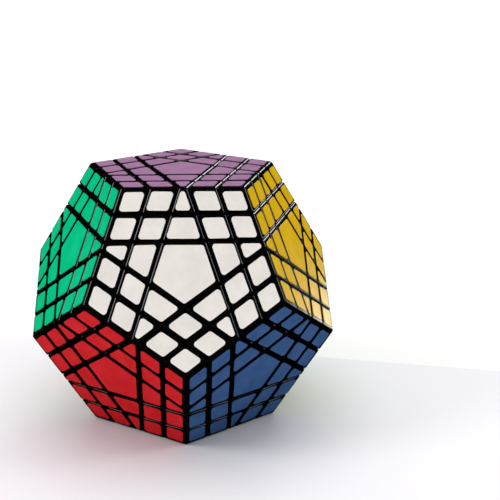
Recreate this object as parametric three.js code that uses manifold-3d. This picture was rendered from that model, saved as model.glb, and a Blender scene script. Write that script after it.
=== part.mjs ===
// Dodecahedron twisty puzzle: every side of every face has two cuts parallel to it.
// Millimetres, +Z up. The origin is the centre of the bottom face, which the puzzle rests on.
//
// All cuts are planes square to one of the twelve face axes, so a piece is described by the faces
// whose outer layer it is in and the faces whose second layer it is in. Its solid is then the
// polyhedron that lies between those planes. Everything is worked out about the puzzle's centre,
// and the finished group is lifted by the inradius at the end.

import * as THREE from 'three';
import { ConvexGeometry } from 'three/addons/geometries/ConvexGeometry.js';
import { mergeVertices } from 'three/addons/utils/BufferGeometryUtils.js';
import Module from 'manifold-3d';

const wasm = await Module();
wasm.setup();

// ---- Driving dimensions --------------------------------------------------------------------

const EDGE = 38; // side of each pentagonal face
const LAYER_DEPTH = 7.6; // thickness of one turning layer, along its face's axis
const GAP = 0.3; // clearance between neighbouring pieces

const LIP_HEIGHT = 2.2; // height of the lips with which pieces hook under each other
const LIP_REACH = 1.6; // how far a lip reaches towards the middle of its face
const SKIN = 3; // material left outside a lip, so that no lip shows
const CAP_THICKNESS = 3.5; // centre cap
const CAP_PLUG_RADIUS = 3; // round plug under the cap, which snaps into the stem
const CAP_PLUG_LENGTH = 3.2;

const STALK_RADIUS = 5; // centre stem, below its pentagonal head
const FLANGE_RADIUS = 6.4; // at the foot of the stem
const FLANGE_HEIGHT = 1.6;
const STEM_CLEARANCE = 0.4; // round a stem, in the holes that it turns in
const STEM_FOOT = 12; // distance of the stem's foot from the puzzle's centre
const COUNTERBORE_RADIUS = 3.3; // room for spring and screw head inside the stem
const COUNTERBORE_FLOOR = 20; // shoulder that the spring presses on
const SCREW_HOLE_RADIUS = 1.5; // hole through the stem's foot

const CORE_RADIUS = 8.5; // ball in the middle
const ARM_RADIUS = 3.4; // twelve arms, one under each stem
const ARM_HOLE_RADIUS = 1.3;
const ARM_HOLE_FLOOR = 5;
const CAVITY_RADIUS = 17; // free space round the core

const SCREW_SHANK_RADIUS = 1;
const SCREW_TIP = 6;
const SCREW_HEAD_RADIUS = 2.3;
const SCREW_FLANGE_RADIUS = 3;
const SCREW_FLANGE_HEIGHT = 0.8;
const SCREW_SEAT = 29.4; // underside of the screw's flange
const SCREW_TOP = 31.8;
const DRIVE_SLOT_LENGTH = 3.2; // of each arm of the cross in the screw's head
const DRIVE_SLOT_WIDTH = 0.7;
const DRIVE_SLOT_DEPTH = 1.1;

const SPRING_RADIUS = 2.15; // to the middle of the wire
const WIRE_RADIUS = 0.4;
const SPRING_TURNS = 4;

const ROUND_SIDES = 12; // facets of a turned part
const BALL_SIDES = 12; // facets round the core and its cavity
const WIRE_SIDES = 6;
const STEPS_PER_TURN = 9; // of the springs
const MERGE_DISTANCE = 0.005; // corners and slivers smaller than this are merged

// ---- Values that follow from them ----------------------------------------------------------

const SQRT5 = Math.sqrt(5);
const INRADIUS = (EDGE / 2) * Math.sqrt((25 + 11 * SQRT5) / 10);
const CUT_1 = INRADIUS - LAYER_DEPTH; // between a face's outer layer and its second layer
const CUT_2 = INRADIUS - 2 * LAYER_DEPTH; // between its second layer and the middle
const LIP_TOP = CUT_1 + LIP_HEIGHT;
const CAP_BASE = INRADIUS - CAP_THICKNESS;
const HOLE_RADIUS = STALK_RADIUS + STEM_CLEARANCE;
const BEYOND = INRADIUS + 1; // a little past the surface, for what is cut away

const BLACK_PLASTIC = { color: 0x141416, roughness: 0.32, metalness: 0 };
const CORE_PLASTIC = { color: 0x2c2e33, roughness: 0.55, metalness: 0 };
const STEEL = { color: 0xb4b8bd, roughness: 0.35, metalness: 1 };

// ---- The twelve faces ----------------------------------------------------------------------

// Angle between the axes of two faces that share an edge has the cosine 1 / sqrt(5).
function faceNormal(azimuthDegrees, height) {
  const azimuth = THREE.MathUtils.degToRad(azimuthDegrees);
  const spread = Math.sqrt(1 - height * height);
  return new THREE.Vector3(spread * Math.cos(azimuth), spread * Math.sin(azimuth), height);
}

const FACES = [
  { name: 'top', normal: faceNormal(0, 1) },
  { name: 'front', normal: faceNormal(-90, 1 / SQRT5) },
  { name: 'right', normal: faceNormal(-18, 1 / SQRT5) },
  { name: 'back_right', normal: faceNormal(54, 1 / SQRT5) },
  { name: 'back_left', normal: faceNormal(126, 1 / SQRT5) },
  { name: 'left', normal: faceNormal(198, 1 / SQRT5) },
  { name: 'lower_front_left', normal: faceNormal(-126, -1 / SQRT5) },
  { name: 'lower_front_right', normal: faceNormal(-54, -1 / SQRT5) },
  { name: 'lower_right', normal: faceNormal(18, -1 / SQRT5) },
  { name: 'lower_back', normal: faceNormal(90, -1 / SQRT5) },
  { name: 'lower_left', normal: faceNormal(162, -1 / SQRT5) },
  { name: 'bottom', normal: faceNormal(0, -1) },
];

// The five neighbours of a face, in order round its axis.
function neighboursOf(face) {
  const turnToAxis = new THREE.Quaternion().setFromUnitVectors(face.normal, FACES[0].normal);
  const angleRound = (other) => {
    const direction = other.normal.clone().applyQuaternion(turnToAxis);
    return Math.atan2(direction.y, direction.x);
  };
  return FACES.filter((other) => Math.abs(other.normal.dot(face.normal) - 1 / SQRT5) < 0.01).sort(
    (one, two) => angleRound(one) - angleRound(two),
  );
}

for (const face of FACES) {
  face.neighbours = neighboursOf(face);
}

// No two of these share an edge, so they can all turn at once. Each turns in two layers.
const TURNING_FACES = FACES.filter((face) =>
  ['top', 'lower_front_left', 'lower_right'].includes(face.name),
);
const FIXED_FACES = FACES.filter((face) => !TURNING_FACES.includes(face));

// ---- Solids --------------------------------------------------------------------------------

function toSolid(geometry) {
  const bare = geometry.index ? geometry.toNonIndexed() : geometry.clone();
  bare.deleteAttribute('normal');
  bare.deleteAttribute('uv');
  const merged = mergeVertices(bare, MERGE_DISTANCE / 10);
  return new wasm.Manifold(
    new wasm.Mesh({
      numProp: 3,
      vertProperties: new Float32Array(merged.attributes.position.array),
      triVerts: new Uint32Array(merged.index.array),
      tolerance: MERGE_DISTANCE,
    }),
  );
}

function toMesh(name, solid, look) {
  const { vertProperties, triVerts } = solid.asOriginal().simplify(MERGE_DISTANCE).getMesh();
  const geometry = new THREE.BufferGeometry();
  geometry.setAttribute('position', new THREE.BufferAttribute(vertProperties, 3));
  geometry.setIndex(new THREE.BufferAttribute(triVerts, 1));
  geometry.computeVertexNormals();
  const mesh = new THREE.Mesh(geometry, new THREE.MeshStandardMaterial(look));
  mesh.name = name;
  return mesh;
}

// A half-space holds the points whose distance along the normal is at most the offset.
const under = (face, level) => ({ normal: face.normal, offset: level });
const over = (face, level) => ({ normal: face.normal.clone().negate(), offset: -level });

function meetingPoint(one, two, three) {
  const twoThree = new THREE.Vector3().crossVectors(two.normal, three.normal);
  const threeOne = new THREE.Vector3().crossVectors(three.normal, one.normal);
  const oneTwo = new THREE.Vector3().crossVectors(one.normal, two.normal);
  const determinant = one.normal.dot(twoThree);
  if (Math.abs(determinant) < 1e-6) {
    return null;
  }
  return twoThree
    .multiplyScalar(one.offset)
    .addScaledVector(threeOne, two.offset)
    .addScaledVector(oneTwo, three.offset)
    .divideScalar(determinant);
}

// The convex solid inside all the half-spaces: its corners are where three of the planes meet.
function polyhedron(halfSpaces) {
  const isInside = (point) =>
    halfSpaces.every(({ normal, offset }) => normal.dot(point) <= offset + 1e-6);
  const corners = [];
  halfSpaces.forEach((one, i) => {
    halfSpaces.slice(i + 1).forEach((two, j) => {
      halfSpaces.slice(i + j + 2).forEach((three) => {
        const point = meetingPoint(one, two, three);
        if (point && isInside(point) && !corners.some((known) => known.distanceTo(point) < 1e-3)) {
          corners.push(point);
        }
      });
    });
  });
  return toSolid(new ConvexGeometry(corners));
}

const joined = (solids) => solids.reduce((whole, solid) => whole.add(solid));

// A turned solid on the +Z axis. The profile is a list of [radius, height] from axis to axis.
function turned(profile) {
  const points = profile.map(([radius, height]) => new THREE.Vector2(radius, height));
  const lathe = new THREE.LatheGeometry(points, ROUND_SIDES);
  lathe.rotateX(Math.PI / 2);
  return toSolid(lathe);
}

const rod = (radius, from, to) => turned([[0, from], [radius, from], [radius, to], [0, to]]);
const ball = (radius) => toSolid(new THREE.SphereGeometry(radius, BALL_SIDES, BALL_SIDES / 2));

// Moves a solid from the +Z axis to the axis of a face.
function onAxisOf(face, solid) {
  const turn = new THREE.Quaternion().setFromUnitVectors(FACES[0].normal, face.normal);
  const matrix = new THREE.Matrix4().makeRotationFromQuaternion(turn);
  return solid.transform(matrix.elements);
}

// ---- The visible pieces --------------------------------------------------------------------

// Every piece that has a sticker, given by the faces whose outer layer and second layer it is in.
function listPieces() {
  const pieces = new Map();
  const note = (kind, outer, second = []) => {
    const names = (faces) => faces.map((face) => face.name).sort();
    const key = [names(outer), names(second)].join('/');
    if (!pieces.has(key)) {
      pieces.set(key, { kind, outer, second });
    }
  };
  for (const face of FACES) {
    face.neighbours.forEach((side, k) => {
      const next = face.neighbours[(k + 1) % face.neighbours.length];
      note('corner', [face, side, next]);
      note('wing', [face, side], [next]);
      note('wing', [face, next], [side]);
      note('mid_edge', [face, side]);
      note('x_centre', [face], [side, next]);
      note('t_centre', [face], [side]);
    });
  }
  return [...pieces.values()];
}

const PIECES = listPieces();

// The planes round a piece: the surface, and the cuts drawn back by half the gap.
function cellPlanes({ outer, second }) {
  const rest = outer[0].neighbours.filter((face) => !outer.includes(face) && !second.includes(face));
  return [
    ...outer.flatMap((face) => [over(face, CUT_1 + GAP / 2), under(face, INRADIUS)]),
    ...second.flatMap((face) => [over(face, CUT_2 + GAP / 2), under(face, CUT_1 - GAP / 2)]),
    ...rest.map((face) => under(face, CUT_2 - GAP / 2)),
  ];
}

const cell = (piece) => polyhedron(cellPlanes(piece));

// The lip of a piece in a face's outer layer: the bottom of its cell, reaching further towards
// the middle of the face. A lip made with a clearance is the room that a neighbour leaves for it.
function lip(face, { outer, second }, clearance = 0) {
  const sides = face.neighbours.flatMap((side) => {
    if (outer.includes(side)) {
      return [over(side, CUT_1 - LIP_REACH - clearance), under(side, INRADIUS - SKIN + clearance)];
    }
    if (second.includes(side)) {
      return [over(side, CUT_2 - LIP_REACH - clearance), under(side, CUT_1 - GAP / 2 + clearance)];
    }
    return [under(side, CUT_2 - GAP / 2 + clearance)];
  });
  return polyhedron([over(face, CUT_1 + GAP / 2 - clearance), under(face, LIP_TOP + clearance), ...sides]);
}

// Outer pieces first: each hooks under the pieces that come after it.
const HOOKING_ORDER = ['corner', 'wing', 'mid_edge', 'x_centre', 't_centre'];

function numbered(face, kind) {
  const pieces = PIECES.filter((piece) => piece.kind === kind && piece.outer.includes(face));
  const turn = new THREE.Quaternion().setFromUnitVectors(face.normal, FACES[0].normal);
  const azimuth = ({ outer, second }) => {
    const pull = new THREE.Vector3();
    outer.forEach((other) => pull.addScaledVector(other.normal, 2));
    second.forEach((other) => pull.add(other.normal));
    pull.applyQuaternion(turn);
    return Math.atan2(pull.y, pull.x);
  };
  return pieces.sort((one, two) => azimuth(one) - azimuth(two));
}

// The thirty pieces round a face's centre, each a solid of its own.
function layerPieces(face) {
  const meshes = [];
  const roomForLips = [];
  for (const kind of HOOKING_ORDER) {
    const pieces = numbered(face, kind);
    const room = roomForLips.length > 0 ? joined(roomForLips) : null;
    pieces.forEach((piece, index) => {
      const whole = cell(piece).add(lip(face, piece));
      const solid = room ? whole.subtract(room) : whole;
      meshes.push(toMesh(`${face.name}_${kind}_${index + 1}`, solid, BLACK_PLASTIC));
    });
    roomForLips.push(...pieces.map((piece) => lip(face, piece, GAP)));
  }
  return meshes;
}

// ---- Layers whose pieces are joined into one solid -----------------------------------------

const pentagonUnder = (face, level) => face.neighbours.map((side) => under(side, level));

// The grooves in every face along its cut lines, down to where the lips would be. In a solid
// that joins many pieces, they are what parts one piece from the next.
const GROOVES = FACES.flatMap((face) =>
  face.neighbours.flatMap((side) =>
    [CUT_1, CUT_2].map((level) => ({
      side,
      solid: polyhedron([
        over(face, LIP_TOP),
        under(face, BEYOND),
        over(side, level - GAP / 2),
        under(side, level + GAP / 2),
        ...pentagonUnder(face, BEYOND),
      ]),
    })),
  ),
);

// A layer ends at its own face's cuts, so the grooves along those are left out.
function grooved(solid, layerFaces) {
  const grooves = GROOVES.filter(({ side }) => !layerFaces.includes(side));
  return solid.subtract(joined(grooves.map((groove) => groove.solid)));
}

// Room for a centre: its cell down to the lips, and between the lips its stem's neck.
function centreRoom(face) {
  const wide = polyhedron([
    over(face, LIP_TOP),
    under(face, BEYOND),
    ...pentagonUnder(face, CUT_2),
  ]);
  const narrow = polyhedron([
    over(face, CUT_1 - GAP / 2),
    under(face, BEYOND),
    ...pentagonUnder(face, CUT_2 - LIP_REACH),
  ]);
  return wide.add(narrow);
}

// The thirty pieces round a face's centre, joined where their lips would be.
function layerRing(face) {
  const layer = polyhedron([
    over(face, CUT_1 + GAP / 2),
    under(face, INRADIUS),
    ...pentagonUnder(face, INRADIUS),
  ]);
  const ring = grooved(layer, [face]).subtract(centreRoom(face));
  return toMesh(`${face.name}_layer_ring`, ring, BLACK_PLASTIC);
}

// The twenty pieces of a face's second layer, joined by the slab that their feet fill.
function sliceRing(face) {
  const layer = polyhedron([
    over(face, CUT_2 + GAP / 2),
    under(face, CUT_1 - GAP / 2),
    ...pentagonUnder(face, INRADIUS),
  ]);
  const hole = onAxisOf(face, rod(HOLE_RADIUS, 0, INRADIUS));
  return toMesh(`${face.name}_slice_ring`, grooved(layer, [face]).subtract(hole), BLACK_PLASTIC);
}

// The eighty pieces that are in no turning layer, joined by the shell that their feet form.
function fixedPieces() {
  const body = polyhedron([
    ...FIXED_FACES.map((face) => under(face, INRADIUS)),
    ...TURNING_FACES.map((face) => under(face, CUT_2 - GAP / 2)),
  ]);
  const holes = FACES.map((face) => onAxisOf(face, rod(HOLE_RADIUS, 0, INRADIUS)));
  const room = joined([ball(CAVITY_RADIUS), ...holes, ...FIXED_FACES.map(centreRoom)]);
  return toMesh('fixed_pieces', grooved(body, TURNING_FACES).subtract(room), BLACK_PLASTIC);
}

// ---- Centres: cap, stem, screw and spring --------------------------------------------------

// Pentagonal head of the stem: a skirt over the lips of its neighbours, and a neck between them.
function stemHead(face, top) {
  const neck = polyhedron([
    over(face, CUT_1 + GAP / 2),
    under(face, top),
    ...pentagonUnder(face, CUT_2 - LIP_REACH - GAP),
  ]);
  const skirt = polyhedron([
    over(face, LIP_TOP + GAP),
    under(face, top),
    ...pentagonUnder(face, CUT_2 - GAP / 2),
  ]);
  return neck.add(skirt);
}

// Round part of the stem, on the +Z axis, up to just inside its head.
function stalk() {
  return turned([
    [0, STEM_FOOT],
    [FLANGE_RADIUS, STEM_FOOT],
    [FLANGE_RADIUS, STEM_FOOT + FLANGE_HEIGHT],
    [STALK_RADIUS, STEM_FOOT + FLANGE_HEIGHT],
    [STALK_RADIUS, CUT_1 + GAP],
    [0, CUT_1 + GAP],
  ]);
}

function centreStem(face) {
  const bore = turned([
    [0, 0],
    [SCREW_HOLE_RADIUS, 0],
    [SCREW_HOLE_RADIUS, COUNTERBORE_FLOOR],
    [COUNTERBORE_RADIUS, COUNTERBORE_FLOOR],
    [COUNTERBORE_RADIUS, INRADIUS],
    [0, INRADIUS],
  ]);
  const whole = stemHead(face, CAP_BASE - GAP / 2).add(onAxisOf(face, stalk()));
  return toMesh(`${face.name}_centre_stem`, whole.subtract(onAxisOf(face, bore)), BLACK_PLASTIC);
}

function centreCap(face) {
  const tile = polyhedron([
    over(face, CAP_BASE + GAP / 2),
    under(face, INRADIUS),
    ...pentagonUnder(face, CUT_2 - GAP / 2),
  ]);
  const plug = onAxisOf(face, rod(CAP_PLUG_RADIUS, CAP_BASE - CAP_PLUG_LENGTH, CAP_BASE + GAP));
  return toMesh(`${face.name}_centre_cap`, tile.add(plug), BLACK_PLASTIC);
}

// Centre of a fixed face: cap and stem in one.
function wholeCentre(face) {
  const whole = stemHead(face, INRADIUS).add(onAxisOf(face, stalk()));
  return toMesh(`${face.name}_centre`, whole, BLACK_PLASTIC);
}

function screw(face) {
  const body = turned([
    [0, SCREW_TIP],
    [SCREW_SHANK_RADIUS, SCREW_TIP + SCREW_SHANK_RADIUS],
    [SCREW_SHANK_RADIUS, SCREW_SEAT],
    [SCREW_FLANGE_RADIUS, SCREW_SEAT],
    [SCREW_FLANGE_RADIUS, SCREW_SEAT + SCREW_FLANGE_HEIGHT],
    [SCREW_HEAD_RADIUS, SCREW_SEAT + SCREW_FLANGE_HEIGHT],
    [SCREW_HEAD_RADIUS, SCREW_TOP],
    [0, SCREW_TOP],
  ]);
  const slots = [0, Math.PI / 2].map((turn) => {
    const slot = new THREE.BoxGeometry(DRIVE_SLOT_LENGTH, DRIVE_SLOT_WIDTH, 2 * DRIVE_SLOT_DEPTH);
    slot.rotateZ(turn);
    slot.translate(0, 0, SCREW_TOP);
    return toSolid(slot);
  });
  return toMesh(`${face.name}_screw`, onAxisOf(face, body.subtract(joined(slots))), STEEL);
}

class Helix extends THREE.Curve {
  getPoint(t, target = new THREE.Vector3()) {
    const angle = 2 * Math.PI * SPRING_TURNS * t;
    const bottom = COUNTERBORE_FLOOR + GAP + WIRE_RADIUS;
    const top = SCREW_SEAT - GAP - WIRE_RADIUS;
    return target.set(
      SPRING_RADIUS * Math.cos(angle),
      SPRING_RADIUS * Math.sin(angle),
      THREE.MathUtils.lerp(bottom, top, t),
    );
  }
}

function spring(face) {
  const wire = new THREE.Shape().absarc(0, 0, WIRE_RADIUS, 0, 2 * Math.PI);
  const coil = new THREE.ExtrudeGeometry(wire, {
    extrudePath: new Helix(),
    steps: STEPS_PER_TURN * SPRING_TURNS,
    curveSegments: WIRE_SIDES / 2,
    bevelEnabled: false,
  });
  return toMesh(`${face.name}_spring`, onAxisOf(face, toSolid(coil)), STEEL);
}

function coreSpider() {
  const arms = FACES.map((face) => onAxisOf(face, rod(ARM_RADIUS, 0, STEM_FOOT - GAP)));
  const holes = FACES.map((face) => onAxisOf(face, rod(ARM_HOLE_RADIUS, ARM_HOLE_FLOOR, STEM_FOOT)));
  return toMesh('core_spider', joined([ball(CORE_RADIUS), ...arms]).subtract(joined(holes)), CORE_PLASTIC);
}

// ---- Assembly ------------------------------------------------------------------------------

const [topFace, ...otherTurningFaces] = TURNING_FACES;

const puzzle = new THREE.Group();
puzzle.add(coreSpider(), fixedPieces(), ...layerPieces(topFace));
puzzle.add(...otherTurningFaces.map(layerRing));
puzzle.add(...TURNING_FACES.flatMap((face) => [centreCap(face), centreStem(face), sliceRing(face)]));
puzzle.add(...TURNING_FACES.flatMap((face) => [screw(face), spring(face)]));
puzzle.add(...FIXED_FACES.map(wholeCentre));
puzzle.position.z = INRADIUS;

const root = new THREE.Group();
root.add(puzzle);

export default root;
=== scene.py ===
"""Looks of a dodecahedron twisty puzzle: every side of every face has two cuts parallel to it.

All cuts are planes square to one of the twelve face axes, so a piece is the polyhedron between a
few of those planes, as in the CAD part. Here its edges are rounded, and each of its outer sides
gets a sticker. Solids are worked out about the puzzle's centre, in metres, and lifted by the
inradius when they become objects, because the CAD's origin is the centre of the bottom face.
"""

import math
import random
from collections import defaultdict
from itertools import combinations, pairwise

import bmesh
import bpy
import numpy as np
from mathutils import Matrix, Vector


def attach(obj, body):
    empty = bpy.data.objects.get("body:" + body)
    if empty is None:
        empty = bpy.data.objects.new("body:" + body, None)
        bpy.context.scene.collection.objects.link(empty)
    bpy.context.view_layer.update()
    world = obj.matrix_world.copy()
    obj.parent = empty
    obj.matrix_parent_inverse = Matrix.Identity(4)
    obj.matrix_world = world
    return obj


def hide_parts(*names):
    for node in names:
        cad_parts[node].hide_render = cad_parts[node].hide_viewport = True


# ---- Dimensions of the CAD part ---------------------------------------------------------------

MM = 0.001
EDGE = 38 * MM  # side of each pentagonal face
LAYER_DEPTH = 7.6 * MM  # thickness of one turning layer
GAP = 0.3 * MM  # between neighbouring pieces
CAP_THICKNESS = 3.5 * MM
CAP_PLUG_RADIUS = 3 * MM
CAP_PLUG_LENGTH = 3.2 * MM
STALK_RADIUS = 5 * MM  # of the centres' stems
FLANGE_RADIUS = 6.4 * MM
FLANGE_HEIGHT = 1.6 * MM
STEM_FOOT = 12 * MM  # distance of the stems' feet from the puzzle's centre
HOLE_RADIUS = 5.4 * MM  # holes that the stems turn in
CAVITY_RADIUS = 17 * MM  # free space round the core

# ---- Dimensions of the looks ------------------------------------------------------------------

EDGE_ROUNDING = 0.55 * MM  # of every piece
ROUNDING_STEPS = 3
STICKER_THICKNESS = 0.15 * MM
STICKER_SUNK = 0.03 * MM  # how far a sticker's underside goes into the plastic
SEAM_MARGIN = 1.0 * MM  # from the middle of a seam to a sticker
CENTRE_MARGIN = 1.15 * MM  # the same for the pentagon
EDGE_MARGIN = 1.35 * MM  # from an edge of the dodecahedron to a sticker
CORNER_RADIUS = 0.9 * MM  # of the stickers
CORNER_STEPS = 6
CORNER_REACH = 0.42  # a rounded corner takes at most this share of a side
RIM_WIDTH = 0.3 * MM  # the sticker's raised border
RIM_HEIGHT = 0.04 * MM
RIM_SLOPE = 0.1 * MM
STICKER_BEVEL = 0.05 * MM
STICKER_SLIP = 0.2 * MM  # how far a sticker laid on by hand may be from its proper place
STICKER_SKEW = math.radians(1)  # and how far turned
HAND_SEED = 12  # of the random places of the stickers
SHARP_ANGLE = math.radians(40)  # edges bent by more than this are drawn sharp
TURNED_STEPS = 48  # sides of a turned solid
BALL_STEPS = 64

SQRT5 = math.sqrt(5)
INRADIUS = EDGE / 2 * math.sqrt((25 + 11 * SQRT5) / 10)
CUT_1 = INRADIUS - LAYER_DEPTH  # between a face's outer layer and its second layer
CUT_2 = INRADIUS - 2 * LAYER_DEPTH  # between its second layer and the middle
PLASTIC = INRADIUS - STICKER_THICKNESS  # level of the plastic under the stickers
CAP_BASE = INRADIUS - CAP_THICKNESS
STICKER_SECTIONS = [  # inset from the sticker's outline, height over the plastic
    (0, -STICKER_SUNK),
    (0, STICKER_THICKNESS - STICKER_BEVEL),
    (STICKER_BEVEL, STICKER_THICKNESS),
    (RIM_WIDTH, STICKER_THICKNESS),
    (RIM_WIDTH + RIM_SLOPE, STICKER_THICKNESS - RIM_HEIGHT),
]
SAME = 1e-7  # lengths that differ by less than this are equal
PARALLEL = 1e-6  # planes, or lines, whose determinant is smaller than this don't cross
ANGLE_SLACK = 1e-9  # keeps the first of several angles from becoming a whole turn
NEIGHBOUR_COSINE = 1 / SQRT5  # of the angle between the normals of two neighbouring faces

# ---- The camera -------------------------------------------------------------------------------

CAMERA_AZIMUTH = -94.31  # degrees round the puzzle, from its +X
CAMERA_ELEVATION = 17.2
CAMERA_ROLL = 0.44
CAMERA_DISTANCE = 371.1 * MM
CAMERA_RIGHT = 22.73 * MM  # how far the line of sight passes to the right of the puzzle's centre
CAMERA_UP = 13.41 * MM  # and how far above it
CAMERA_LENS = 78.35  # focal length, in millimetres as Blender wants it
CAMERA_SENSOR = 36  # width, in millimetres too

# ---- The stage --------------------------------------------------------------------------------

FLOOR_SIZE = 6
FLOOR_DROP = 0.4 * MM  # how far the floor is below the paper
FLOOR_COLOUR = (0.98, 0.98, 0.98)
PAPER_SIZE = 1.2
PAPER_BACK = 51 * MM  # how far the paper goes on behind the puzzle's middle
PAPER_TURN = -15  # degrees
PAPER_COLOUR = (0.935, 0.93, 0.95)

# While the upward part of a direction rises from "From Min" to "From Max", the dome's strength
# there rises from "To Min" to "To Max".
DOME = {"From Min": 0.6, "From Max": 0.85, "To Min": 0.03, "To Max": 1.75}
DOME_SEEN = 1.0  # its strength for the camera, in every direction

WHITE = (1, 1, 1)
WARM = (1, 0.96, 0.95)
SOFTBOXES = {  # name: azimuth and elevation in degrees, distance, size, watts, colour, mirrored
    "left_softbox": (-163, 37, 1.8, 0.6, 9, WARM, True),
    "right_softbox": (-8, 32, 1.8, 0.5, 5, WHITE, True),
    "back_right_softbox": (66, 24, 2.0, 0.4, 3.5, WHITE, True),
    "front_softbox": (-95, 6, 2.2, 1.0, 8, WHITE, False),
}
GLARE_PLACE = (0.28, 0.27, 0.001)  # a small light on the floor, facing up, for the yellow face
GLARE_SIZE = 0.2
GLARE_POWER = 0.6
BACKDROP_PLACE = (0.1, 1.3, 1.0)  # a large light facing down on the floor far behind the puzzle
BACKDROP_SIZE = 1.4
BACKDROP_POWER = 5

# ---- The twelve faces -------------------------------------------------------------------------

UPPER = NEIGHBOUR_COSINE
LOWER = -NEIGHBOUR_COSINE
FACES = {  # name: azimuth in degrees, height of the unit normal, colour of the stickers
    "top": (0, 1, "purple"),
    "front": (-90, UPPER, "white"),
    "right": (-18, UPPER, "yellow"),
    "back_right": (54, UPPER, "orange"),
    "back_left": (126, UPPER, "light_blue"),
    "left": (198, UPPER, "green"),
    "lower_front_left": (-126, LOWER, "red"),
    "lower_front_right": (-54, LOWER, "blue"),
    "lower_right": (18, LOWER, "lime"),
    "lower_back": (90, LOWER, "grey"),
    "lower_left": (162, LOWER, "cream"),
    "bottom": (0, -1, "pink"),
}
STICKER_COLOURS = {  # sRGB
    "purple": (0.66, 0.49, 0.64),
    "white": (0.95, 0.93, 0.90),
    "yellow": (0.92, 0.74, 0.05),
    "orange": (0.91, 0.42, 0.10),
    "light_blue": (0.42, 0.70, 0.88),
    "green": (0.00, 0.82, 0.56),
    "red": (0.86, 0.13, 0.15),
    "blue": (0.22, 0.36, 0.56),
    "lime": (0.56, 0.78, 0.18),
    "grey": (0.56, 0.57, 0.59),
    "cream": (0.93, 0.88, 0.68),
    "pink": (0.92, 0.56, 0.68),
}
TURNING_FACES = ("top", "lower_front_left", "lower_right")
FIXED_FACES = [name for name in FACES if name not in TURNING_FACES]


def angle_of(vector):
    """The direction of a vector as an angle from +X, in radians."""
    return math.atan2(vector[1], vector[0])


def unit_normal(azimuth_degrees, height):
    """The unit vector with that azimuth and that height."""
    azimuth = math.radians(azimuth_degrees)
    spread = math.sqrt(1 - height * height)
    return np.array([spread * math.cos(azimuth), spread * math.sin(azimuth), height])


NORMALS = {name: unit_normal(azimuth, height) for name, (azimuth, height, _) in FACES.items()}


def face_basis(face):
    """Two unit vectors in the plane of a face, and its normal."""
    normal = NORMALS[face]
    is_level = face in ("top", "bottom")
    helper = np.array([0.0, 1.0, 0.0] if is_level else [0.0, 0.0, 1.0])
    across = np.cross(helper, normal)
    across /= np.linalg.norm(across)
    return across, np.cross(normal, across), normal


def neighbours_of(face):
    """The five faces that share an edge with a face, in order round its axis."""
    across, along, normal = face_basis(face)
    near = [name for name in FACES if abs(NORMALS[name] @ normal - NEIGHBOUR_COSINE) < SAME]
    return sorted(near, key=lambda name: math.atan2(NORMALS[name] @ along, NORMALS[name] @ across))


NEIGHBOURS = {face: neighbours_of(face) for face in FACES}


# ---- The pieces -------------------------------------------------------------------------------


def list_pieces():
    """Every piece: its kind, the faces whose outer layer it is in, and those whose second layer."""
    pieces = {}

    def note(kind, outer, second=()):
        pieces.setdefault((frozenset(outer), frozenset(second)), (kind, outer, second))

    for face in FACES:
        note("centre", (face,))
        sides = NEIGHBOURS[face]
        for side, following in zip(sides, sides[1:] + sides[:1], strict=True):
            note("corner", (face, side, following))
            note("wing", (face, side), (following,))
            note("wing", (face, following), (side,))
            note("mid_edge", (face, side))
            note("x_centre", (face,), (side, following))
            note("t_centre", (face,), (side,))
    return list(pieces.values())


def under(face, level):
    """The half-space under a level on a face's axis: a direction, and the limit along it."""
    return NORMALS[face], level


def over(face, level):
    """The half-space over that level."""
    return -NORMALS[face], -level


def cell_planes(outer, second, base=CUT_1 + GAP / 2):
    """The planes round a piece: the surface, and the cuts drawn back by half the gap.

    The base is the level of the underside of a piece of the outer layers.
    """
    planes = []
    for face in outer:
        planes += [over(face, base), under(face, PLASTIC)]
    for face in second:
        planes += [over(face, CUT_2 + GAP / 2), under(face, CUT_1 - GAP / 2)]
    rest = [face for face in NEIGHBOURS[outer[0]] if face not in outer and face not in second]
    return planes + [under(face, CUT_2 - GAP / 2) for face in rest]


def body_name(outer, second):
    """The CAD body that a piece moves with."""
    for face in TURNING_FACES:
        if face in outer:
            return f"{face}_layer"
        if face in second:
            return f"{face}_slice"
    return "core"


# ---- Meshes -----------------------------------------------------------------------------------


def polyhedron_corners(planes):
    """The corners of the solid inside all the planes: the points where three of them meet."""
    corners = []
    for three in combinations(planes, 3):
        normals = np.array([normal for normal, _ in three])
        if abs(np.linalg.det(normals)) < PARALLEL:
            continue
        point = np.linalg.solve(normals, [level for _, level in three])
        inside = all(normal @ point <= level + SAME for normal, level in planes)
        if inside and all(np.linalg.norm(point - known) > SAME for known in corners):
            corners.append(point)
    return corners


def polyhedron(planes):
    """A bmesh of the convex solid inside all the planes, with one face for each plane."""
    corners = polyhedron_corners(planes)
    bm = bmesh.new()
    vertices = [bm.verts.new(point) for point in corners]
    for normal, level in planes:
        on_it = [i for i, point in enumerate(corners) if abs(normal @ point - level) < 2 * SAME]
        if len(on_it) < 3:
            continue
        middle = np.mean([corners[i] for i in on_it], axis=0)
        first = corners[on_it[0]] - middle
        first /= np.linalg.norm(first)
        second = np.cross(normal, first)
        spokes = {i: corners[i] - middle for i in on_it}
        on_it.sort(key=lambda i: math.atan2(spokes[i] @ second, spokes[i] @ first))
        bm.faces.new([vertices[i] for i in on_it])
    return bm


def rounded(bm):
    """The bmesh with all its edges rounded."""
    bmesh.ops.bevel(
        bm,
        geom=bm.edges[:],
        offset=EDGE_ROUNDING,
        offset_type="OFFSET",
        affect="EDGES",
        segments=ROUNDING_STEPS,
        profile=0.5,
        clamp_overlap=True,
    )
    return bm


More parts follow.
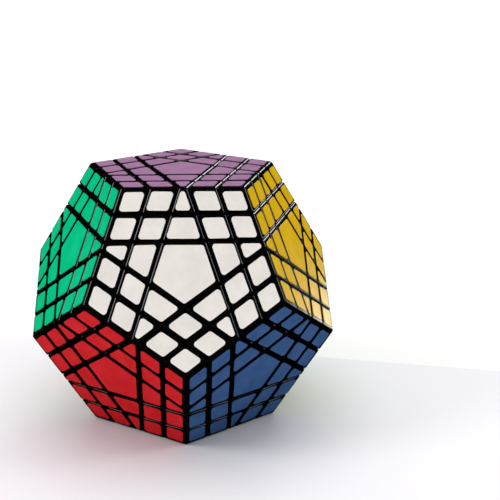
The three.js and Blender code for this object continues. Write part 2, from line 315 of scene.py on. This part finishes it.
def add_ring(bm, face, radius, height):
    """New vertices in a circle round a face's axis, or one on the axis where the radius is 0."""
    across, along, normal = face_basis(face)
    if radius == 0:
        return [bm.verts.new(normal * height)]
    ring = []
    for step in range(TURNED_STEPS):
        angle = 2 * math.pi * step / TURNED_STEPS
        spoke = across * math.cos(angle) + along * math.sin(angle)
        ring.append(bm.verts.new(spoke * radius + normal * height))
    return ring


def turned(profile, face):
    """A bmesh of a turned solid on a face's axis. The profile is a list of (radius, height)."""
    bm = bmesh.new()
    rings = [add_ring(bm, face, radius, height) for radius, height in profile]
    for low, high in pairwise(rings):
        for step in range(TURNED_STEPS):
            following = (step + 1) % TURNED_STEPS
            loop = [low[step % len(low)], low[following % len(low)]]
            loop += [high[following % len(high)], high[step % len(high)]]
            bm.faces.new(list(dict.fromkeys(loop)))  # beside a ring of one vertex, a triangle
    bmesh.ops.recalc_face_normals(bm, faces=bm.faces[:])
    return bm


def rod(face, radius, low, high):
    """A bmesh of a round rod on a face's axis, between two levels."""
    return turned([(0, low), (radius, low), (radius, high), (0, high)], face)


def ball(radius):
    """A bmesh of a ball round the puzzle's centre."""
    bm = bmesh.new()
    steps = {"u_segments": BALL_STEPS, "v_segments": BALL_STEPS // 2}
    bmesh.ops.create_uvsphere(bm, radius=radius, **steps)
    return bm


def make_object(name, parts):
    """One object from several bmeshes, lifted to the CAD's frame."""
    whole = bmesh.new()
    for bm in parts:
        mesh = bpy.data.meshes.new("part")
        bm.to_mesh(mesh)
        bm.free()
        whole.from_mesh(mesh)
        bpy.data.meshes.remove(mesh)
    whole.transform(Matrix.Translation((0, 0, INRADIUS)))
    mesh = bpy.data.meshes.new(name)
    whole.to_mesh(mesh)
    whole.free()
    made = bpy.data.objects.new(name, mesh)
    bpy.context.scene.collection.objects.link(made)
    return made


def smooth(made):
    """Smooth shading that keeps the large flat sides flat and the sharp edges sharp."""
    made.data.shade_smooth()
    made.data.set_sharp_from_angle(angle=SHARP_ANGLE)
    weighting = made.modifiers.new("flat sides", "WEIGHTED_NORMAL")
    weighting.weight = 100  # the largest side counts most
    weighting.keep_sharp = True


def cut_away(made, cutters):
    """Takes the cutters, which are bmeshes, out of an object's mesh."""
    tools = [make_object("cutter", [bm]) for bm in cutters]
    for tool in tools:
        cut = made.modifiers.new("cut", "BOOLEAN")
        cut.operation = "DIFFERENCE"
        cut.object = tool
        cut.solver = "EXACT"
    evaluated = made.evaluated_get(bpy.context.evaluated_depsgraph_get())
    mesh = bpy.data.meshes.new_from_object(evaluated)
    mesh.name = made.name
    made.modifiers.clear()
    made.data = mesh
    for tool in tools:
        bpy.data.meshes.remove(tool.data)  # and with it the tool


# ---- Stickers ---------------------------------------------------------------------------------


def place_across(level):
    """How far from a face's middle a neighbour's plane at a level crosses the face's plastic."""
    sine = math.sqrt(1 - NEIGHBOUR_COSINE * NEIGHBOUR_COSINE)
    return (level - PLASTIC * NEIGHBOUR_COSINE) / sine


def sticker_lines(face, outer, second, inset):
    """The half-planes round a sticker, each a direction in the face and a limit along it.

    The inset draws them all in by the same amount.
    """
    across, along, _ = face_basis(face)
    seam = inset + (SEAM_MARGIN if second or len(outer) > 1 else CENTRE_MARGIN)
    lines = []
    for side in NEIGHBOURS[face]:
        direction = np.array([NORMALS[side] @ across, NORMALS[side] @ along])
        direction /= np.linalg.norm(direction)
        if side in outer:
            lines.append((-direction, -place_across(CUT_1) - seam))
            lines.append((direction, place_across(PLASTIC) - EDGE_MARGIN - inset))
        elif side in second:
            lines.append((-direction, -place_across(CUT_2) - seam))
            lines.append((direction, place_across(CUT_1) - seam))
        else:
            lines.append((direction, place_across(CUT_2) - seam))
    return lines


def polygon_corners(lines):
    """The corners of the polygon inside all the half-planes, anticlockwise from the first found."""
    corners = []
    for (one, limit_one), (two, limit_two) in combinations(lines, 2):
        directions = np.array([one, two])
        if abs(np.linalg.det(directions)) < PARALLEL:
            continue
        point = np.linalg.solve(directions, [limit_one, limit_two])
        inside = all(direction @ point <= limit + SAME for direction, limit in lines)
        if inside and all(np.linalg.norm(point - known) > SAME for known in corners):
            corners.append(point)
    middle = np.mean(corners, axis=0)
    start = angle_of(corners[0] - middle) - ANGLE_SLACK
    return sorted(corners, key=lambda point: (angle_of(point - middle) - start) % (2 * math.pi))


def corner_arc(corner, before, after, radius):
    """The points of the arc that rounds a corner, which comes between two others."""
    back, onward = before - corner, after - corner
    lengths = np.linalg.norm(back), np.linalg.norm(onward)
    back, onward = back / lengths[0], onward / lengths[1]
    half = math.acos(back @ onward) / 2
    reach = min(radius / math.tan(half), CORNER_REACH * min(lengths))
    bisector = (back + onward) / np.linalg.norm(back + onward)
    middle = corner + bisector * reach / math.cos(half)
    first = angle_of(corner + back * reach - middle)
    turn = (angle_of(corner + onward * reach - middle) - first) % (2 * math.pi)
    arc_radius = reach * math.tan(half)
    angles = [first + turn * step / CORNER_STEPS for step in range(CORNER_STEPS + 1)]
    return [middle + arc_radius * np.array([math.cos(a), math.sin(a)]) for a in angles]


def rounded_outline(corners, radius):
    """The polygon with rounded corners, as a list of points: CORNER_STEPS + 1 for each corner."""
    outline = []
    for i, corner in enumerate(corners):
        outline += corner_arc(corner, corners[i - 1], corners[(i + 1) % len(corners)], radius)
    return outline


def mislay(outline, middle, slip, skew):
    """The outline turned by the skew about its middle, and moved by the slip."""
    turn = np.array([[math.cos(skew), -math.sin(skew)], [math.sin(skew), math.cos(skew)]])
    return [middle + turn @ (point - middle) + slip for point in outline]


def sticker(face, outer, second, hand):
    """A bmesh of the sticker of a piece on one face: a thin tile with a slightly raised border.

    The hand is the random generator that says where it was laid.
    """
    across, along, normal = face_basis(face)
    middle = np.mean(polygon_corners(sticker_lines(face, outer, second, 0)), axis=0)
    slip = np.array([hand.uniform(-STICKER_SLIP, STICKER_SLIP) for _ in range(2)])
    skew = hand.uniform(-STICKER_SKEW, STICKER_SKEW)
    bm = bmesh.new()
    rings = []
    for inset, height in STICKER_SECTIONS:
        corners = polygon_corners(sticker_lines(face, outer, second, inset))
        outline = mislay(rounded_outline(corners, CORNER_RADIUS - inset), middle, slip, skew)
        level = normal * (PLASTIC + height)
        rings.append([bm.verts.new(across * x + along * y + level) for x, y in outline])
    for low, high in pairwise(rings):
        for i in range(len(low)):
            bm.faces.new([low[i - 1], low[i], high[i], high[i - 1]])
    bm.faces.new(rings[-1])
    bm.faces.new(rings[0][::-1])
    return bm


# ---- Materials --------------------------------------------------------------------------------


def linear(colour):
    """An sRGB colour as linear RGBA."""
    return [c / 12.92 if c <= 0.04045 else ((c + 0.055) / 1.055) ** 2.4 for c in colour] + [1]


class Nodes:
    """A new material's node tree, with short ways to add and join nodes."""

    def __init__(self, name):
        self.material = bpy.data.materials.new(name)
        self.material.use_nodes = True
        self.tree = self.material.node_tree
        self.shader = self.tree.nodes["Principled BSDF"]
        self.place = self.tree.nodes.new("ShaderNodeTexCoord").outputs["Object"]

    def give(self, socket, value):
        """Joins a socket to another node's output, or sets its value."""
        if isinstance(value, bpy.types.NodeSocket):
            self.tree.links.new(value, socket)
        else:
            socket.default_value = value

    def add(self, kind, values):
        """A new node, with a value or another node's output for each socket named."""
        made = self.tree.nodes.new(kind)
        for name, value in values.items():
            self.give(made.inputs[name], value)
        return made

    def noise(self, feature_size, detail=2, roughness=0.5):
        """A noise from 0 to 1 whose features are about that many metres across."""
        values = {"Vector": self.place, "Scale": 1 / feature_size, "Detail": detail}
        values["Roughness"] = roughness
        return self.add("ShaderNodeTexNoise", values).outputs["Fac"]

    def spread(self, factor, low, high, from_low=0.3, from_high=0.7):
        """The noise stretched, so that its usual range runs between two values."""
        values = {"Value": factor, "From Min": from_low, "From Max": from_high}
        values |= {"To Min": low, "To Max": high}
        return self.add("ShaderNodeMapRange", values).outputs["Result"]

    def blend(self, factor, one, two):
        """A mix of two colours. The node's sockets share names, so they go by number."""
        mix = self.tree.nodes.new("ShaderNodeMix")
        mix.data_type = "RGBA"
        for number, value in ((0, factor), (6, one), (7, two)):
            self.give(mix.inputs[number], value)
        return mix.outputs[2]

    def bump(self, height, distance, under=None):
        """A normal tilted by a height, which is added to the bumps under it if there are any."""
        values = {"Height": height, "Distance": distance, "Strength": 1}
        if under is not None:
            values["Normal"] = under
        return self.add("ShaderNodeBump", values).outputs["Normal"]

    def feed(self, **values):
        """Gives values to the shader's sockets, and returns the material."""
        for name, value in values.items():
            label = name.replace("_", " ").title().replace("Ior", "IOR")
            self.give(self.shader.inputs[label], value)
        return self.material


def black_plastic():
    """Polished black ABS: faint moulding ripple, fine grain, and a little paler dust and wear."""
    nodes = Nodes("black_plastic")
    dust = nodes.spread(nodes.noise(3 * MM, detail=6, roughness=0.7), 0, 1, 0.5, 0.85)
    colour = nodes.blend(dust, linear((0.018, 0.018, 0.02)), linear((0.04, 0.04, 0.042)))
    roughness = nodes.spread(nodes.noise(1.2 * MM, detail=4), 0.16, 0.24)
    ripple = nodes.bump(nodes.noise(4 * MM), 0.004 * MM)
    grain = nodes.bump(nodes.noise(0.15 * MM), 0.0004 * MM, ripple)
    return nodes.feed(base_color=colour, roughness=roughness, normal=grain, specular_ior_level=0.45)


def sticker_vinyl(colour_name):
    """Glossy vinyl: slightly uneven colour, and the faint orange peel of a printed film."""
    nodes = Nodes(f"sticker_{colour_name}")
    colour = STICKER_COLOURS[colour_name]
    paler = tuple(c + (1 - c) * 0.05 for c in colour)
    darker = tuple(c * 0.95 for c in colour)
    patches = nodes.spread(nodes.noise(6 * MM, detail=5, roughness=0.6), 0, 1)
    tint = nodes.blend(patches, linear(darker), linear(paler))
    roughness = nodes.spread(nodes.noise(0.8 * MM, detail=3), 0.18, 0.24)
    peel = nodes.bump(nodes.noise(0.5 * MM, detail=1), 0.004 * MM)
    return nodes.feed(base_color=tint, roughness=roughness, normal=peel, specular_ior_level=0.15)


def core_plastic():
    """Dull grey nylon with moulding grain."""
    nodes = Nodes("core_plastic")
    mottle = nodes.spread(nodes.noise(2 * MM, detail=5, roughness=0.6), 0, 1)
    colour = nodes.blend(mottle, linear((0.16, 0.165, 0.18)), linear((0.22, 0.225, 0.24)))
    roughness = nodes.spread(nodes.noise(0.6 * MM), 0.48, 0.66)
    grain = nodes.bump(nodes.noise(0.2 * MM), 0.006 * MM)
    return nodes.feed(base_color=colour, roughness=roughness, normal=grain)


def steel():
    """Zinc-plated steel: cloudy plating and fine drawing marks."""
    nodes = Nodes("steel")
    cloud = nodes.spread(nodes.noise(1.5 * MM, detail=4), 0, 1)
    colour = nodes.blend(cloud, linear((0.66, 0.67, 0.69)), linear((0.78, 0.79, 0.8)))
    roughness = nodes.spread(nodes.noise(0.4 * MM, detail=3), 0.24, 0.42)
    marks = nodes.bump(nodes.noise(0.12 * MM), 0.002 * MM)
    return nodes.feed(base_color=colour, roughness=roughness, normal=marks, metallic=1)


# ---- Building the puzzle ----------------------------------------------------------------------


def paint(made, material):
    """Gives an object a material in place of those it has."""
    made.data.materials.clear()
    made.data.materials.append(material)


def dress(made, material, slot, body, *nodes):
    """Finishes an object, hangs it on its body, and hides the CAD nodes it stands for."""
    smooth(made)
    paint(made, material)
    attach(made, body)
    if nodes:
        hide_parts(*nodes)


def azimuth_of(piece):
    """Where a piece is, as an angle round the vertical."""
    _, outer, second = piece
    pull = sum(2 * NORMALS[face] for face in outer) + sum(NORMALS[face] for face in second)
    return angle_of(pull)


def build_top_pieces(pieces, plastic):
    """The thirty pieces of the top layer, each an object of its own, numbered as in the CAD."""
    for kind in ("corner", "wing", "mid_edge", "x_centre", "t_centre"):
        members = [piece for piece in pieces if piece[0] == kind and "top" in piece[1]]
        for number, (_, outer, second) in enumerate(sorted(members, key=azimuth_of), 1):
            node = f"top_{kind}_{number}"
            made = make_object(f"{node}_piece", [rounded(polyhedron(cell_planes(outer, second)))])
            dress(made, plastic, "black_plastic", "top_layer", node)


def build_other_pieces(pieces, plastic):
    """The other pieces, one object for all of a kind that move together."""
    groups = defaultdict(list)
    for kind, outer, second in pieces:
        body = body_name(outer, second)
        if kind != "centre" and body != "top_layer":
            groups[body, kind].append(rounded(polyhedron(cell_planes(outer, second))))
    for (body, kind), parts in groups.items():
        node = "fixed_pieces" if body == "core" else f"{body}_ring"
        made = make_object(f"{body}_{kind}_pieces", parts)
        dress(made, plastic, "black_plastic", body, node)


def build_slice_plate(face, plastic):
    """The disc that the feet of a second layer's pieces form inside it, round the stem."""
    planes = [over(face, CUT_2 + GAP / 2), under(face, CUT_1 - GAP / 2)]
    planes += [under(side, CUT_1 - GAP / 2) for side in NEIGHBOURS[face]]
    made = make_object(f"{face}_slice_feet", [polyhedron(planes)])
    cut_away(made, [rod(face, HOLE_RADIUS, 0, INRADIUS)])
    dress(made, plastic, "black_plastic", f"{face}_slice", f"{face}_slice_ring")


def build_fixed_shell(plastic):
    """The shell that the feet of the fixed pieces form round the core."""
    planes = [under(face, CUT_1 - GAP / 2) for face in FIXED_FACES]
    planes += [under(face, CUT_2 - GAP / 2) for face in TURNING_FACES]
    made = make_object("core_feet", [polyhedron(planes)])
    cut_away(made, [ball(CAVITY_RADIUS)] + [rod(face, HOLE_RADIUS, 0, INRADIUS) for face in FACES])
    dress(made, plastic, "black_plastic", "core", "fixed_pieces")


def build_cap(face, plastic):
    """The cap of a turning face, with the plug that holds it in its stem."""
    tile = rounded(polyhedron(cell_planes((face,), (), CAP_BASE + GAP / 2)))
    plug = rod(face, CAP_PLUG_RADIUS, CAP_BASE - CAP_PLUG_LENGTH, CAP_BASE + GAP)
    made = make_object(f"{face}_cap", [tile, plug])
    dress(made, plastic, "black_plastic", f"{face}_layer", f"{face}_centre_cap")


def build_whole_centre(face, plastic):
    """The centre of a face that doesn't turn, cap and stem in one."""
    head = rounded(polyhedron(cell_planes((face,), ())))
    stem = [
        (0, STEM_FOOT),
        (FLANGE_RADIUS, STEM_FOOT),
        (FLANGE_RADIUS, STEM_FOOT + FLANGE_HEIGHT),
        (STALK_RADIUS, STEM_FOOT + FLANGE_HEIGHT),
        (STALK_RADIUS, CUT_1 + GAP),
        (0, CUT_1 + GAP),
    ]
    made = make_object(f"{face}_centre_piece", [head, turned(stem, face)])
    dress(made, plastic, "black_plastic", "core", f"{face}_centre")


def build_stickers(pieces):
    """All stickers, one object for each colour on each body."""
    hand = random.Random(HAND_SEED)
    groups = defaultdict(list)
    for _, outer, second in pieces:
        for face in outer:
            colour = FACES[face][2]
            groups[body_name(outer, second), colour].append(sticker(face, outer, second, hand))
    vinyls = {colour: sticker_vinyl(colour) for colour in STICKER_COLOURS}
    for (body, colour), parts in groups.items():
        made = make_object(f"{body}_stickers_{colour}", parts)
        dress(made, vinyls[colour], f"sticker_{colour}", body)


def finish_cad_nodes(nodes, plastic):
    """Materials for the CAD nodes that stay: the core, and the turning faces' stems and fixings."""
    metal = steel()
    finishes = {"core_spider": core_plastic()}
    for face in TURNING_FACES:
        finishes[f"{face}_centre_stem"] = plastic
        finishes[f"{face}_screw"] = metal
        finishes[f"{face}_spring"] = metal
    for name, material in finishes.items():
        paint(nodes[name], material)


# ---- Stage ------------------------------------------------------------------------------------


def add_sheet(name, centre, size, turn_degrees, height, colour):
    """A flat sheet of matt paper, as part of the stage. Glossy surfaces don't mirror it."""
    bpy.ops.mesh.primitive_plane_add(size=size, location=(*centre, height))
    sheet = bpy.context.object
    sheet.name = name
    sheet.rotation_euler.z = math.radians(turn_degrees)
    nodes = Nodes(name)
    darker = tuple(c * 0.99 for c in colour)
    patches = nodes.spread(nodes.noise(0.1, detail=3), 0, 1)
    tint = nodes.blend(patches, linear(darker), linear(colour))
    sheet.data.materials.append(nodes.feed(base_color=tint, roughness=0.9))
    sheet.visible_glossy = False


def build_floor():
    """A white floor, and on it the pale lavender paper that the puzzle stands on."""
    add_sheet("floor", (0, 0), FLOOR_SIZE, 0, -FLOOR_DROP, FLOOR_COLOUR)
    turn = math.radians(PAPER_TURN)
    forward = PAPER_SIZE / 2 - PAPER_BACK
    middle = forward * math.sin(turn), -forward * math.cos(turn)
    add_sheet("paper", middle, PAPER_SIZE, PAPER_TURN, 0, PAPER_COLOUR)


def add_softbox(name, place, aim, size, power, colour, mirrored):
    """A square area light at a place, facing a point. Glossy surfaces may or may not mirror it."""
    light = bpy.data.lights.new(name, "AREA")
    light.size = size
    light.energy = power
    light.color = colour
    made = bpy.data.objects.new(name, light)
    made.location = place
    made.rotation_euler = (Vector(place) - Vector(aim)).to_track_quat("Z", "Y").to_euler()
    made.visible_camera = False
    made.visible_glossy = mirrored
    bpy.context.scene.collection.objects.link(made)


def round_puzzle(azimuth_degrees, elevation_degrees, distance):
    """A place given by its direction and its distance from the puzzle's centre."""
    azimuth, elevation = math.radians(azimuth_degrees), math.radians(elevation_degrees)
    level = distance * math.cos(elevation)
    height = INRADIUS + distance * math.sin(elevation)
    return level * math.cos(azimuth), level * math.sin(azimuth), height


def build_world():
    """A soft dome, bright overhead and dim towards the horizon.

    The camera sees it evenly pale, and glossy surfaces don't mirror it.
    """
    world = bpy.data.worlds.new("studio")
    world.use_nodes = True
    tree = world.node_tree
    direction = tree.nodes.new("ShaderNodeTexCoord")
    parts = tree.nodes.new("ShaderNodeSeparateXYZ")
    rise = tree.nodes.new("ShaderNodeMapRange")
    tree.links.new(direction.outputs["Generated"], parts.inputs[0])
    tree.links.new(parts.outputs["Z"], rise.inputs["Value"])
    ray = tree.nodes.new("ShaderNodeLightPath")
    seen = tree.nodes.new("ShaderNodeMix")
    tree.links.new(ray.outputs["Is Camera Ray"], seen.inputs["Factor"])
    tree.links.new(rise.outputs["Result"], seen.inputs["A"])
    seen.inputs["B"].default_value = DOME_SEEN
    tree.links.new(seen.outputs["Result"], tree.nodes["Background"].inputs["Strength"])
    for name, value in DOME.items():
        rise.inputs[name].default_value = value
    tree.nodes["Background"].inputs["Color"].default_value = (1, 1, 1, 1)
    world.cycles_visibility.glossy = False
    bpy.context.scene.world = world


def build_lights():
    """Softboxes that face the puzzle, one that faces up and one that faces down."""
    middle = (0, 0, INRADIUS)
    for name, (azimuth, elevation, distance, *look) in SOFTBOXES.items():
        add_softbox(name, round_puzzle(azimuth, elevation, distance), middle, *look)
    overhead = (*GLARE_PLACE[:2], 1)
    add_softbox("low_softbox", GLARE_PLACE, overhead, GLARE_SIZE, GLARE_POWER, WHITE, True)
    ground = (*BACKDROP_PLACE[:2], 0)
    look = BACKDROP_SIZE, BACKDROP_POWER, WHITE, False
    add_softbox("backdrop_softbox", BACKDROP_PLACE, ground, *look)


def camera_axes():
    """The camera's directions to the right, up and backward."""
    azimuth, elevation = math.radians(CAMERA_AZIMUTH), math.radians(CAMERA_ELEVATION)
    roll = math.radians(CAMERA_ROLL)
    level = math.cos(elevation)
    backward = Vector((level * math.cos(azimuth), level * math.sin(azimuth), math.sin(elevation)))
    right = Vector((0, 0, 1)).cross(backward).normalized()
    up = backward.cross(right)
    rolled_right = right * math.cos(roll) + up * math.sin(roll)
    rolled_up = up * math.cos(roll) - right * math.sin(roll)
    return rolled_right, rolled_up, backward


def build_camera():
    """The camera. Its line of sight passes the puzzle's centre on the right and above."""
    right, up, backward = camera_axes()
    place = Vector((0, 0, INRADIUS)) + backward * CAMERA_DISTANCE
    place += right * CAMERA_RIGHT
    place += up * CAMERA_UP
    camera = bpy.data.objects.new("camera", bpy.data.cameras.new("camera"))
    camera.data.lens = CAMERA_LENS
    camera.data.sensor_width = CAMERA_SENSOR
    axes = Matrix((right, up, backward)).transposed().to_4x4()
    camera.matrix_world = Matrix.Translation(place) @ axes
    bpy.context.scene.collection.objects.link(camera)
    bpy.context.scene.camera = camera
    bpy.context.scene.view_settings.view_transform = "Standard"


# ---- Everything together ----------------------------------------------------------------------

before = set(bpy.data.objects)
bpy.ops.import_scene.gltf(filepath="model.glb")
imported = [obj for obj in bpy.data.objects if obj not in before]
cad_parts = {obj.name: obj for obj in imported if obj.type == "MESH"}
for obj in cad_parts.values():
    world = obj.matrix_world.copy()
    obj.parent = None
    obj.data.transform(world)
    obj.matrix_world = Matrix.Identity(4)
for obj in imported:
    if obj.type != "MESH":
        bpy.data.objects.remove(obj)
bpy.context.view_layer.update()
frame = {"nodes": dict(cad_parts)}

all_pieces = list_pieces()
abs_plastic = black_plastic()
build_top_pieces(all_pieces, abs_plastic)
build_other_pieces(all_pieces, abs_plastic)
for turning_face in TURNING_FACES:
    build_slice_plate(turning_face, abs_plastic)
build_fixed_shell(abs_plastic)
for any_face in FACES:
    if any_face in TURNING_FACES:
        build_cap(any_face, abs_plastic)
    else:
        build_whole_centre(any_face, abs_plastic)
build_stickers(all_pieces)
finish_cad_nodes(frame["nodes"], abs_plastic)
build_floor()
build_world()
build_lights()
build_camera()
